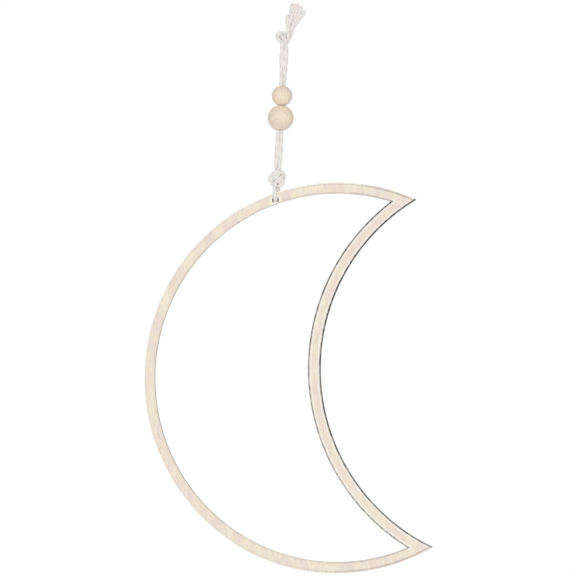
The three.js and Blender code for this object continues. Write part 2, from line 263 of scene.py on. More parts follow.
end_roots = [np.array([x, 0.0, z]) for x, z, _ in CORD_ENDS]
end_ways = [
    np.array([math.sin(math.radians(lean)), 0.0, math.cos(math.radians(lean))])
    for *_, lean in CORD_ENDS
]
feet = [on_cord(LOOP_TOP, side * LOOP_SPREAD, side * LOOP_DEPTH) for side in SIDES]
lower_knot = pull_tight([
    loose_knot(
        [strands[s][-1], strands[s][-1] + down * STUB],
        [feet[s] - down * STUB, feet[s]],
        on_cord(KNOT_DROP), side,
    )
    for s, side in enumerate(SIDES)
], LOWER_REACH)
upper_knot = pull_tight([
    loose_knot(
        [end_roots[s], end_roots[s] - end_ways[s] * STUB],
        [strands[s][0] - down * STUB, strands[s][0]],
        UPPER_KNOT, side,
    )
    for s, side in enumerate(SIDES)
], UPPER_REACH)
print("cord in the lower knot, mm:", round(length_of(lower_knot[0]), 1))
print("cord in the upper knot, mm:", round(length_of(upper_knot[0]), 1))

# %% [markdown]
# ## The loop through the hole, and each half as one line
# Below the lower knot one strand comes down in front of the board, goes through the hole and comes
# up behind it as the other strand. Each half of the cord is drawn from the middle of the hole up to
# its frayed end.

# %% Join the stretches of each half
HOLE_RADIUS = 2.1
CORNER_BENDS = np.radians([90.0, 60.0, 30.0, 0.0])
LEG_RISE = 1.5
LINE_STEP = 0.25

hole = on_cord(HOLE_DROP)
seat_height = hole[2] + HOLE_RADIUS - SEAT_RADIUS

def loop_leg(side):
    """From the hole's middle round the board's edge and up one face: out to the face's depth plus
    the seat's radius by cosine, up by one less sine. The legs draw apart as they rise."""
    out = np.append(BOARD_THICKNESS / 2 + SEAT_RADIUS * np.cos(CORNER_BENDS), LOOP_DEPTH)
    rise = np.append(SEAT_RADIUS * (1 - np.sin(CORNER_BENDS)), SEAT_RADIUS + LEG_RISE)
    spread = side * LOOP_SPREAD * rise / (feet[0][2] - seat_height)
    leg = np.stack([hole[0] + spread, side * out, seat_height + rise], axis=1)
    return np.concatenate([[[hole[0], 0.0, seat_height]], leg])

def eased(line, rounds=12):
    """Takes the last corners out of a line: in each round every point becomes half itself and a
    quarter of each neighbour."""
    for _ in range(rounds):
        line = np.concatenate([line[:1], (line[:-2] + 2 * line[1:-1] + line[2:]) / 4, line[-1:]])
    return evenly(line, len(line))

halves = [
    eased(curve_through(
        np.concatenate([
            loop_leg(side),
            lower_knot[s][::-1],
            strands[s][::-1][1:-1],
            upper_knot[s][::-1],
        ]),
        LINE_STEP,
    ))
    for s, side in enumerate(SIDES)
]
print("points on each:", [len(line) for line in halves])

# %% [markdown]
# ## Turning grids of points into meshes
# Every new piece here is a grid: rows follow the piece and columns go round it. One function joins
# each point to its neighbours with four-sided faces. A piece may be many tubes at once, such as
# hundreds of fibres, so the grid has one more dimension that counts them.

# %% Mesh from grids
def mesh_from(name, batches, closed_rows=False, **attributes):
    """A mesh from arrays (tubes, rows, columns, 3) in millimetres. Columns close round each tube.
    Rows close too in a ring. Otherwise a flat face closes each end. Attributes have the same
    leading shape, as a list over the batches. A negative volume turns all faces round."""
    faces, first = [], 0
    for batch in batches:
        index = first + np.arange(batch.size // 3).reshape(batch.shape[:3])
        first += batch.size // 3
        rows = np.concatenate([index, index[:, :1]], axis=1) if closed_rows else index
        ahead = np.roll(rows, -1, axis=2)
        sides = np.stack([rows[:, :-1], ahead[:, :-1], ahead[:, 1:], rows[:, 1:]], axis=-1)
        faces.append(sides.reshape(-1, 4))
        if not closed_rows:
            faces.append(index[:, 0, ::-1])
            faces.append(index[:, -1])
    points = np.concatenate([batch.reshape(-1, 3) for batch in batches]) * MM
    corners = [points[block[:, :3]] for block in faces if block.shape[1] == 4]
    volume = sum(np.einsum("ij,ij->", c[:, 0], np.cross(c[:, 1], c[:, 2])) for c in corners)
    if volume < 0:
        faces = [block[:, ::-1] for block in faces]
    mesh = bpy.data.meshes.new(name)
    mesh.from_pydata(points, [], [face for block in faces for face in block.tolist()])
    smooth = np.concatenate([np.full(len(block), block.shape[1] == 4) for block in faces])
    mesh.polygons.foreach_set("use_smooth", smooth)
    for key, values in attributes.items():
        flat = np.concatenate([np.asarray(v, np.float32).ravel() for v in values])
        kind = "FLOAT_VECTOR" if len(flat) == 3 * len(points) else "FLOAT"
        slot = "vector" if kind == "FLOAT_VECTOR" else "value"
        mesh.attributes.new(key, kind, "POINT").data.foreach_set(slot, flat)
    mesh.validate()
    print(name, len(points), "points,", len(smooth), "faces")
    return placed(name, mesh)

def frames_along(line):
    """The way that a line runs, and two directions square to it, at each point. The first is
    carried on from point to point and only tipped back square, so that it never spins."""
    way = np.gradient(line, axis=0)
    way /= np.linalg.norm(way, axis=1, keepdims=True)
    first = np.empty_like(way)
    carried = np.cross(way[0], [0.0, 0.0, 1.0]) if abs(way[0, 2]) < 0.9 else np.array([1.0, 0.0, 0.0])
    for i, heading in enumerate(way):
        carried = carried - heading * (carried @ heading)
        carried /= np.linalg.norm(carried)
        first[i] = carried
    return way, first, np.cross(way, first)

def away(angle, first, second):
    """The direction at an angle round a line: its cosine of the first way and its sine of the other."""
    return np.cos(angle) * first + np.sin(angle) * second

# %% [markdown]
# ## Three plies laid up into a cord
# Cotton cord is three soft plies twisted together, and each ply is a bundle of yarns twisted the
# other way. Three separate twisted tubes would need many faces inside the cord that nobody sees.
# Instead the cord is one skin: in every direction it reaches as far as the furthest of the three
# round plies, which gives the ridges and the grooves between them, and the yarns are fine ripples.
# The skin also remembers how deep in a groove each point lies, and where it would be if the cord
# lay straight, so that colour and fibre can follow the cord through every bend.

# %% Skin of the cord
PLY_CENTRE = 0.40
PLY_RADIUS = 0.64
LAY = 21.0
YARNS = 6
YARN_LAY = 30.0
YARN_RIPPLE = 0.025
CORD_COLUMNS = 48
SWELL = 0.15
# Where the cord swells: under the nail, at the hole, in the upper knot and in the lower one. Each
# stretch has the drop of its middle and its reach.
SOFT_STRETCHES = ((8.0, 5.0), (120.0, 6.0), (-8.0, 8.0), (102.0, 6.0))

def ply_turns(line, root_turn):
    """The plies' turn about the cord at each point, once round in every lay, so that it comes to
    the root turn at the line's last point."""
    step = length_of(line) / (len(line) - 1)
    return 2 * np.pi * (np.arange(len(line)) - (len(line) - 1)) * step / LAY + root_turn

def thickness(line):
    """The cord's radius at each point. A soft stretch adds to it by a share SWELL, times exp(-u u)
    of the distance u from the stretch's middle, in reaches."""
    drop = line @ down
    swell = sum(np.exp(-(((drop - middle) / reach) ** 2)) for middle, reach in SOFT_STRETCHES)
    return CORD_RADIUS * (1 + SWELL * swell)

def laid_cord(name, line, root_turn):
    """Round the cord, the reach of a ply at angle a from it is c cos a + sqrt(p p - c c sin a sin a),
    with c to its centre and p its radius, and the skin is the largest of the three."""
    _, first, second = frames_along(line)
    turn = ply_turns(line, root_turn)[:, None, None]
    around = np.linspace(0.0, 2 * np.pi, CORD_COLUMNS, endpoint=False)[None, :, None]
    off = around - turn - np.arange(3) * 2 * np.pi / 3
    reach = PLY_CENTRE * np.cos(off) + np.sqrt(PLY_RADIUS**2 - (PLY_CENTRE * np.sin(off)) ** 2)
    best = reach.argmax(axis=2)[..., None]
    reach, off = np.take_along_axis(reach, best, 2)[..., 0], np.take_along_axis(off, best, 2)[..., 0]
    around = around[..., 0]
    along = np.linspace(0.0, length_of(line), len(line))[:, None]
    on_ply = np.arctan2(reach * np.sin(off), reach * np.cos(off) - PLY_CENTRE)
    ripple = YARN_RIPPLE * np.cos(YARNS * (on_ply + 2 * np.pi * along / YARN_LAY))
    radius = thickness(line)[:, None] * reach / (PLY_CENTRE + PLY_RADIUS) + ripple
    skin = line[:, None] + radius[..., None] * away(around[..., None], first[:, None], second[:, None])
    low = reach.min()
    groove = 1 - (reach - low) / (reach.max() - low)
    spin = around - turn[..., 0]
    straight = np.stack([radius * np.cos(spin), radius * np.sin(spin), along + 0 * spin], axis=-1)
    return mesh_from(name, [skin[None]], groove=[groove], straight=[straight])

def root_turn(line, towards_front):
    """The turn at the line's end that points the first ply the given way."""
    _, first, second = frames_along(line)
    return math.atan2(second[-1] @ towards_front, first[-1] @ towards_front)

FRONT = np.array([0.0, -1.0, 0.0])
turns = [root_turn(line, FRONT) for line in halves]
cords = [
    laid_cord(name, line, turn)
    for name, line, turn in zip(("cord_left", "cord_right"), halves, turns)
]

# %% [markdown]
# ## Frayed ends
# Past the upper knot the cord is cut and has come undone. Each end opens into its three plies,
# which puff up as their twist goes, bend over to the right, and end in loose fibres. The plies start
# exactly on the ridges of the cord, so cord and plies read as one.

# %% Six plies that puff up
PLY_PUFF = 0.7
PUFF_RATE = 14
CUT_POWER = 16
CUT_RADIUS = 0.02
PLY_ROWS = 70
PLY_COLUMNS = 30
RIDGES = 7
RIDGE_LAY = 3.4
RIDGE_HEIGHT = 0.035
FRAY_ROOT = 0.6
FRAY_STEP = 0.2
# For each end and ply, places on its way: across, behind and up from the nail.
FRAY_ROUTES = (
    (
        ((3.9, -0.9, 20.0), (6.2, -0.9, 25.0), (7.8, -0.5, 30.0), (8.3, -0.2, 33.8)),
        ((3.4, 0.6, 20.0), (4.6, 0.5, 24.5), (5.5, 0.2, 29.5), (5.8, 0.0, 34.0)),
        ((2.1, -0.3, 18.6), (2.2, -0.4, 21.5), (2.5, -0.3, 25.0)),
    ),
    (
        ((7.8, -0.8, 19.0), (9.9, -0.8, 23.0), (11.8, -0.5, 27.5), (13.0, -0.2, 31.4)),
        ((8.2, 0.4, 17.9), (10.4, 0.4, 20.6), (12.8, 0.3, 24.0), (16.0, 0.0, 28.2)),
        ((6.5, 0.6, 19.5), (8.0, 0.8, 23.5), (9.5, 0.4, 28.5), (10.6, 0.1, 33.4)),
    ),
)

def ply_root(s, k):
    """The middle of ply k where half s ends: the ply's centre distance out at its turn."""
    _, first, second = frames_along(halves[s])
    turn = turns[s] + k * 2 * math.pi / 3
    out = CORD_RADIUS * PLY_CENTRE / (PLY_CENTRE + PLY_RADIUS)
    return halves[s][-1] + out * away(turn, first[-1], second[-1])

def ply_width(share):
    """Radius along a ply: it starts as it lies in the cord, puffs up as 1 - exp(-rate share) rises,
    and keeps its width up to a blunt cut, by the root of 1 less the share to a high power."""
    laid = CORD_RADIUS * PLY_RADIUS / (PLY_CENTRE + PLY_RADIUS)
    puffed = laid * (1 + PLY_PUFF * (1 - np.exp(-PUFF_RATE * share)))
    return puffed * np.sqrt(np.clip(1 - share**CUT_POWER, 0.0, 1.0)) + CUT_RADIUS

def ply_skin(line, start_turn):
    """A tube with seven soft ridges of yarn. Along each ridge lay they wind a seventh of a turn."""
    _, first, second = frames_along(line)
    share = np.linspace(0.0, 1.0, len(line))[:, None]
    along = share * length_of(line)
    around = np.linspace(0.0, 2 * np.pi, PLY_COLUMNS, endpoint=False)[None]
    ridge = np.cos(RIDGES * (around - start_turn) - 2 * np.pi * along / RIDGE_LAY)
    radius = ply_width(share) * (1 + RIDGE_HEIGHT * ridge)
    skin = line[:, None] + radius[..., None] * away(around[..., None], first[:, None], second[:, None])
    straight = np.stack([radius * np.cos(around), radius * np.sin(around), along + 0 * around], axis=-1)
    return skin, (1 - ridge) / 2 + 0 * radius, straight

fray_lines = []
for s, routes in enumerate(FRAY_ROUTES):
    tail = []
    for k, route in enumerate(routes):
        root = ply_root(s, k)
        inside = root - FRAY_ROOT * end_ways[s]
        tail.append(curve_through(np.concatenate([[inside, root], route]), FRAY_STEP))
    fray_lines.append(tail)

def frayed_end(name, tail):
    skins = [ply_skin(evenly(line, PLY_ROWS), 0.7 * k) for k, line in enumerate(tail)]
    batch, groove, straight = (np.stack(part) for part in zip(*skins))
    return mesh_from(name, [batch], groove=[groove], straight=[straight])

frays = [
    frayed_end(name, tail)
    for name, tail in zip(("frayed_end_left", "frayed_end_right"), fray_lines)
]

# %% [markdown]
# ## Loose fibres
# Cotton is never clean-edged: fibres stand off it everywhere, and its cut ends are tufts. A fibre is
# a thin three-sided tube that starts on the surface and bends away. All fibres are made in one
# array, so a thousand of them cost little. Chance comes from a seeded generator and never changes.

# %% Fibres on the cord and tufts at the cut ends
chance = np.random.default_rng(20)
HAIR_ROWS = 6
HAIR_RADIUS = 0.022
HAIR_CURL = 0.35
HAIR_LEAN = 0.9
TUFT_FROM = 0.72
TUFT_SPREAD = (0.05, 0.45)
TUFT_LEAN = 0.3
TUFT_HAIR_RADIUS = 0.045

def hairs(start, out, along, lengths, drift, radius=HAIR_RADIUS):
    """Each hair's point at share t: start + length (out t + along drift t t), curled to one side by
    up to a third of its length. Its tube thins towards the tip."""
    t = np.linspace(0.0, 1.0, HAIR_ROWS)[None, :, None]
    side = np.cross(along, out)
    curl = chance.uniform(-HAIR_CURL, HAIR_CURL, (len(start), 1, 1))
    out, along, side = out[:, None], along[:, None], side[:, None]
    reach, drift = lengths[:, None, None], drift[:, None, None]
    line = start[:, None] + reach * (out * t + along * drift * t**2 + side * curl * np.sin(2.5 * t))
    corner = np.radians([90.0, 210.0, 330.0])[None, None, :, None]
    ring = np.cos(corner) * side[:, :, None] + np.sin(corner) * along[:, :, None]
    return line[:, :, None] + radius * (1 - 0.7 * t[..., None]) * ring

def hairs_on(line, count, reach, radius=0.95 * CORD_RADIUS):
    """Hairs that leave a line of cord all round it, each leaning one way or the other along it."""
    way, first, second = frames_along(line)
    at = chance.integers(4, len(line) - 4, count)
    angle = chance.uniform(0.0, 2 * np.pi, (count, 1))
    out = away(angle, first[at], second[at])
    lengths = chance.uniform(0.4, 1.0, count) * reach
    lean = chance.normal(0.0, HAIR_LEAN, count)
    return hairs(line[at] + out * radius, out, way[at], lengths, lean)

def tuft(line, count, reach):
    """Fibres at a ply's tip: they start inside its last stretch and spread out as they go on."""
    way, first, second = frames_along(line)
    at = chance.integers(int(TUFT_FROM * len(line)), len(line) - 1, count)
    angle = chance.uniform(0.0, 2 * np.pi, (count, 1))
    out = away(angle, first[at], second[at])
    spread = chance.uniform(*TUFT_SPREAD, (count, 1))
    heading = way[at] + spread * out
    heading /= np.linalg.norm(heading, axis=1, keepdims=True)
    lengths = chance.uniform(0.35, 1.0, count) * reach
    start = line[at] + out * chance.uniform(0.1, 0.55, (count, 1))
    lean = chance.normal(0.0, TUFT_LEAN, count)
    return hairs(start, heading, np.cross(way[at], out), lengths, lean, TUFT_HAIR_RADIUS)

FUZZ_PER_MM = 1.2
FUZZ_LENGTH = 1.5
TUFT_FIBRES = 46
TUFT_LENGTH = 3.2
END_HAIRS = 34
END_HAIR_LENGTH = 1.6
END_HAIR_OUT = 0.75
fuzz = mesh_from("cord_fuzz", [
    hairs_on(line, int(FUZZ_PER_MM * length_of(line)), FUZZ_LENGTH) for line in halves
])
tufts = [
    mesh_from(name, [
        batch
        for line in tail
        for batch in (
            tuft(line, TUFT_FIBRES, TUFT_LENGTH),
            hairs_on(line, END_HAIRS, END_HAIR_LENGTH, END_HAIR_OUT),
        )
    ])
    for name, tail in zip(("tufts_left", "tufts_right"), fray_lines)
]

# %% [markdown]
# ## How the cord's pieces are placed
# The moon can turn on the cord, which winds up between the beads and the lower knot. The cord and its
# fuzz stay fixed where they are drawn, and the CAD strands, knots and ends that they replace are
# hidden. The ends and their tufts stay with the hanger.

TWIST_FROM = on_cord(90.0) * MM
TWIST_TO = on_cord(66.0) * MM
REPLACED = (("strand_left", "top_knot_left", "lower_knot"), ("strand_right", "top_knot_right"))

for piece in (*cords, fuzz):
    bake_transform(piece)
for piece in (*frays, *tufts):
    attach(piece, "hanger")
for s, piece in enumerate(cords):
    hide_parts(*REPLACED[s])
    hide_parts(("cord_end_left", "cord_end_right")[s])
    hole * MM

# %% [markdown]
# ## Turned beads
# A wooden bead is a ball with a drilled bore whose edges are eased where the cord would rub. It is
# made as the lathe makes it: half an outline, carried once round the bore's own line. A real bead is
# never a perfect ball, so its radius swells and shrinks by a few hundredths as it goes round.

# %% Two beads
BORE_RADIUS = 3.15
BORE_EDGE = 3.4
BEAD_GAP = 0.6
LARGE_BEAD_DROP = 54.8
MOUTH = 0.55
WOBBLE = 0.003
BEAD_COLUMNS = 160
BALL_ROWS = 90
MOUTH_ROWS = 9
BORE_ROWS = 7

def bead_height(radius):
    """Half the length of a bead's bore: the square root of the ball's radius squared less the
    radius squared of the bore's edge in the CAD model."""
    return math.sqrt(radius**2 - BORE_EDGE**2)

def bead_outline(radius):
    """Radius and height along half an outline: up the ball from mouth to mouth, over a rounded
    edge whose points slide from the ball to the bore, down the bore, and over the other edge."""
    edge = math.acos((BORE_RADIUS + MOUTH) / radius)
    sweep = np.linspace(-edge, edge, BALL_ROWS)
    ball = np.stack([radius * np.cos(sweep), radius * np.sin(sweep)], axis=1)
    t = np.linspace(0.0, 1.0, MOUTH_ROWS)[1:, None]
    corner = np.array([BORE_RADIUS, math.sqrt(radius**2 - BORE_RADIUS**2)])
    inside = corner - [0.0, MOUTH]
    over = (1 - t) ** 2 * ball[-1] + 2 * t * (1 - t) * corner + t**2 * inside
    down_bore = np.linspace(inside[1], -inside[1], BORE_ROWS)
    bore = np.stack([np.full(BORE_ROWS, BORE_RADIUS), down_bore], axis=1)
    return np.concatenate([ball, over, bore[1:-1], over[::-1] * [1, -1]])

def bead(name, radius, drop, turned):
    """The outline carried round the cord's line: radius by cosine across and by sine behind. Twice
    in each turn the radius swells and shrinks by its wobble."""
    outline = bead_outline(radius)
    round_it = np.linspace(0.0, 2 * np.pi, BEAD_COLUMNS, endpoint=False)[None]
    out, up = outline[:, :1], outline[:, 1:]
    swell = WOBBLE * np.cos(2 * round_it + turned)
    out = out * (1 + swell * (out > BORE_RADIUS + 0.01))
    points = on_cord(drop - up + 0 * out, out * np.cos(round_it), out * np.sin(round_it))
    return mesh_from(name, [points[None]], closed_rows=True)

LARGE_RADIUS = 10.0
SMALL_RADIUS = 8.0
small_drop = LARGE_BEAD_DROP - bead_height(LARGE_RADIUS) - bead_height(SMALL_RADIUS) - BEAD_GAP
beads = {
    "large_bead": bead("large_bead_turned", LARGE_RADIUS, LARGE_BEAD_DROP, 0.6),
    "small_bead": bead("small_bead_turned", SMALL_RADIUS, small_drop, 2.1),
}
for node, piece in beads.items():
    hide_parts(node)
    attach(piece, node)

# %% [markdown]
# ## The crescent
# The moon is what a disc keeps when a second circle bites into it, and the opening inside repeats
# the same two arcs, one band further in. It could be drawn and extruded as text is. Here the band is
# a grid instead, so that its edges can be eased a tenth of a millimetre where sandpaper went over
# them: each row is the crescent's outline with slightly smaller or larger radii at its own depth,
# and rows go round the band's section. The cord's hole is then cut with a Boolean.

# %% Arcs of the moon
DISC_RADIUS = 150.0
BITE_RADIUS = 150.0
BITE_OFFSET = 139.0
MOON_TURN = math.radians(2.65)
RIM_WIDTH = 8.5
BOW_WIDTH = 9.6
HOLE_INSET = 5.5
HOLE_ANGLE = math.radians(108.6)
RIM_LENGTH = 616.0
BOW_LENGTH = 327.0
ARC_STEP = 1.1

hole_flat = hole[[0, 2]]
to_hole = np.array([math.cos(HOLE_ANGLE), math.sin(HOLE_ANGLE)])
disc_centre = hole_flat - (DISC_RADIUS - HOLE_INSET) * to_hole
bite_centre = disc_centre + BITE_OFFSET * np.array([math.cos(MOON_TURN), math.sin(MOON_TURN)])

def arc(centre, radius, start, end, length):
    """Points of an arc, one in each arc step, without the last one."""
    angle = np.linspace(start, end, int(length / ARC_STEP), endpoint=False)
    return centre + radius * np.stack([np.cos(angle), np.sin(angle)], axis=1)

def crescent(disc, bite):
    """Round the disc the long way, then back along the bite. In the triangle of the two centres and
    a horn, the cosine of the angle at a centre is the sum of the squares of the two sides that meet
    there, less the square of the third, over twice the product of the two."""
    keep = math.acos((BITE_OFFSET**2 + disc**2 - bite**2) / (2 * BITE_OFFSET * disc))
    bitten = math.acos((BITE_OFFSET**2 + bite**2 - disc**2) / (2 * BITE_OFFSET * bite))
    rim = arc(disc_centre, disc, MOON_TURN + keep, MOON_TURN + 2 * np.pi - keep, RIM_LENGTH)
    bow = arc(bite_centre, bite, MOON_TURN + np.pi + bitten, MOON_TURN + np.pi - bitten, BOW_LENGTH)
    return np.concatenate([rim, bow])

def section(front, back, front_ease, back_ease):
    """Round the band's section: for each row, how far in from its edge it lies, its depth, and
    whether the edge is the outer or the inner one. Each corner is a quarter circle of four rows."""
    bend = np.radians([0.0, 30.0, 60.0, 90.0])
    ahead = [(front_ease * (1 - math.cos(b)), front + front_ease * (1 - math.sin(b))) for b in bend]
    behind = [(back_ease * (1 - math.sin(b)), back - back_ease * (1 - math.cos(b))) for b in bend]
    wall = behind + ahead
    return [(inset, y, True) for inset, y in wall] + [(inset, y, False) for inset, y in wall[::-1]]

def ply(name, front, back, front_ease, back_ease):
    rows = []
    for inset, y, outer in section(front, back, front_ease, back_ease):
        shrink = inset if outer else RIM_WIDTH - inset
        grow = inset if outer else BOW_WIDTH - inset
        flat = crescent(DISC_RADIUS - shrink, BITE_RADIUS + grow)
        rows.append(np.stack([flat[:, 0], np.full(len(flat), y), flat[:, 1]], axis=1))
    return mesh_from(name, [np.stack(rows)[None]], closed_rows=True)

EASE = 0.12
GLUE_EASE = 0.03
VENEER = 0.75
face = BOARD_THICKNESS / 2
plies = {
    "moon_front_ply": ply("front_veneer", -face, -face + VENEER, EASE, GLUE_EASE),
    "moon_core_ply": ply("core_veneer", -face + VENEER, face - VENEER, GLUE_EASE, GLUE_EASE),
    "moon_back_ply": ply("back_veneer", face - VENEER, face, GLUE_EASE, EASE),
}

# %% Cut the cord's hole
HOLE_SIDES = 64
BAR_HALF = 5

def drill(piece):
    """Takes a round bar out of a piece at the cord's hole, and keeps the result as its mesh."""
    angle = np.linspace(0.0, 2 * np.pi, HOLE_SIDES, endpoint=False)
    circle = hole + HOLE_RADIUS * np.stack([np.cos(angle), 0 * angle, np.sin(angle)], axis=1)
    ends = [circle - BAR_HALF * depth, circle + BAR_HALF * depth]
    bar = mesh_from("bar", [np.stack(ends)[None]])
    change = piece.modifiers.new("hole", "BOOLEAN")
    change.object = bar
    change.solver = "EXACT"
    bpy.context.view_layer.update()
    cut = bpy.data.meshes.new_from_object(piece.evaluated_get(bpy.context.evaluated_depsgraph_get()))
    piece.modifiers.clear()
    piece.data = cut
    bpy.data.objects.remove(bar)
    cut.polygons.foreach_set("use_smooth", np.zeros(len(cut.polygons), bool))
    print(piece.name, "has", len(cut.polygons), "faces after the hole")

for node, piece in plies.items():
    drill(piece)
    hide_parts(node)
    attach(piece, "moon")
    "core_veneer" if node == "moon_core_ply" else "face_veneer"

# %% [markdown]
# ## Finishes, written as sums
# A finish is a formula over the surface. In the node editor that is dozens of boxes and wires, so
# here a small class stands for a node's output, and Python's own plus, minus and times add the Math
# nodes. Any other node comes from one method, which is given its type, settings and inputs.

# %% A class for sockets and one for finishes
class Reading:
    """A node's output. Operators on it and on plain numbers add Math nodes to the same finish."""

    def __init__(self, finish, socket):
        self.finish = finish
        self.socket = socket

    def math(self, operation, *values):
        return self.finish.add("ShaderNodeMath", {"operation": operation}, *values)

    def __add__(self, other):
        return self.math("ADD", self, other)

    def __sub__(self, other):
        return self.math("SUBTRACT", self, other)

    def __rsub__(self, other):
        return self.math("SUBTRACT", other, self)

    def __mul__(self, other):
        return self.math("MULTIPLY", self, other)

    def __truediv__(self, other):
        return self.math("DIVIDE", self, other)

    def __pow__(self, power):
        return self.math("POWER", self, power)

    def __abs__(self):
        return self.math("ABSOLUTE", self)

    __radd__ = __add__
    __rmul__ = __mul__

    def least(self, other):
        return self.math("MINIMUM", self, other)

    def most(self, other):
        return self.math("MAXIMUM", self, other)

    def sine(self):
        return self.math("SINE", self)

    def ease(self, start, end, low=0.0, high=1.0):
        """Goes smoothly from low to high as the reading goes from start to end."""
        settings = {"interpolation_type": "SMOOTHSTEP"}
        return self.finish.add("ShaderNodeMapRange", settings, self, start, end, low, high)

class Finish:
    """A material whose nodes are added by name, with the Principled shader at its end."""

    def __init__(self, name, roughness):
        self.material = bpy.data.materials.new(name)
        self.material.use_nodes = True
        self.nodes = self.material.node_tree.nodes
        self.links = self.material.node_tree.links
        self.shader = self.nodes["Principled BSDF"]
        self.shader.inputs["Roughness"].default_value = roughness
        self.shader.inputs["Specular IOR Level"].default_value = 0.3

    def put(self, socket, value):
        """A reading is linked to the socket and a plain value is set on it."""
        if isinstance(value, Reading):
            self.links.new(value.socket, socket)
        else:
            socket.default_value = value

    def add(self, kind, settings, *inputs, output=0, **named):
        """A node: its settings come first, then inputs in order, then inputs by name."""
        node = self.nodes.new(kind)
        for key, value in settings.items():
            setattr(node, key, value)
        for socket, value in zip(node.inputs, inputs):
            self.put(socket, value)
        for key, value in named.items():
            self.put(node.inputs[key.replace("_", " ")], value)
        return Reading(self, node.outputs[output])

    def place(self):
        """Where a point lies on the object, in millimetres."""
        metres = self.add("ShaderNodeTexCoord", {}, output="Object")
        return self.add("ShaderNodeVectorMath", {"operation": "SCALE"}, metres, Scale=1 / MM)

    def attribute(self, name, output="Fac"):
        return self.add("ShaderNodeAttribute", {"attribute_name": name}, output=output)

    def parts(self, vector):
        """The three numbers of a vector."""
        node = self.add("ShaderNodeSeparateXYZ", {}, vector).socket.node
        return [Reading(self, socket) for socket in node.outputs]

    def stretched(self, vector, scales, turn=(0.0, 0.0, 0.0)):
        return self.add("ShaderNodeMapping", {}, vector, Scale=scales, Rotation=turn)

    def noise(self, vector, scale, detail=2.0, roughness=0.5):
        inputs = {"Scale": scale, "Detail": detail, "Roughness": roughness}
        return self.add("ShaderNodeTexNoise", {}, vector, **inputs)

    def mix(self, factor, first, second):
        """The first colour where the factor is 0 and the second where it is 1."""
        node = self.nodes.new("ShaderNodeMix")
        node.data_type = "RGBA"
        for socket, value in ((0, factor), (6, first), (7, second)):
            self.put(node.inputs[socket], value)
        return Reading(self, node.outputs[2])

    def bump(self, height, distance):
        """A relief whose height of 1 stands a distance in millimetres off the surface."""
        relief = self.add("ShaderNodeBump", {}, Height=height, Distance=distance * MM, Strength=1.0)
        self.put(self.shader.inputs["Normal"], relief)

    def colour(self, value):
        self.put(self.shader.inputs["Base Color"], value)

def tint(red, green, blue):
    """A colour as a screen shows it, 0 to 255, turned into the linear light that shaders take."""
    share = np.array([red, green, blue]) / 255
    linear = np.where(share > 0.04045, ((share + 0.055) / 1.055) ** 2.4, share / 12.92)
    return (*linear.tolist(), 1.0)

def apart_from(across, up, centre):
    """Distance from a centre, in the plane of two readings."""
    return ((across - centre[0]) ** 2 + (up - centre[1]) ** 2) ** 0.5

def dress(finish, *pieces):
    for piece in pieces:
        piece.data.materials.clear()
        piece.data.materials.append(finish.material)

# %% [markdown]
# ## Cotton
# Undyed cotton is a warm off-white, a little pink in places. It is matt, with a faint sheen from its
# fibres. Grooves between plies are darker because light hardly gets in. Fine fibres run along the
# plies, so their noise is stretched along the straightened cord.

# %% Cotton finish
def cotton(name):
    finish = Finish(name, 0.92)
    finish.shader.inputs["Sheen Weight"].default_value = 0.25
    finish.shader.inputs["Sheen Roughness"].default_value = 0.5
    straight = finish.attribute("straight", "Vector")
    groove = finish.attribute("groove")
    fibres = finish.noise(finish.stretched(straight, (1.0, 1.0, 0.12)), 9.0, 3.0, 0.6)
    patches = finish.noise(straight, 0.22, 2.0)
    base = finish.mix(patches.ease(0.42, 0.62), tint(236, 234, 229), tint(238, 229, 226))
    base = finish.mix(fibres.ease(0.35, 0.75) * 0.18, base, tint(222, 216, 208))
    base = finish.mix(groove.ease(0.5, 1.0) * 0.3, base, tint(210, 202, 195))
    finish.colour(base)
    finish.bump(fibres, 0.02)
    return finish

cord_cotton = cotton("laid_cotton")
dress(cord_cotton, *cords, *frays)

loose_cotton = Finish("loose_cotton_fibres", 0.9)
loose_cotton.shader.inputs["Sheen Weight"].default_value = 0.2
shade = loose_cotton.noise(loose_cotton.place(), 0.6)
loose_cotton.colour(loose_cotton.mix(shade, tint(240, 238, 233), tint(236, 228, 224)))
dress(loose_cotton, fuzz, *tufts)

# %% [markdown]
# ## Bead wood
# The beads are pale hardwood, turned smooth and left unvarnished. Growth rings are circles round the
# middle of the tree. In the large bead that middle runs nearly straight to the wall, just beside the
# bore, so its front shows arcs. The small bead was cut further out, with its grain along the cord,
# so its rings are stripes. Noise bends them a little, and short pores run along the grain.

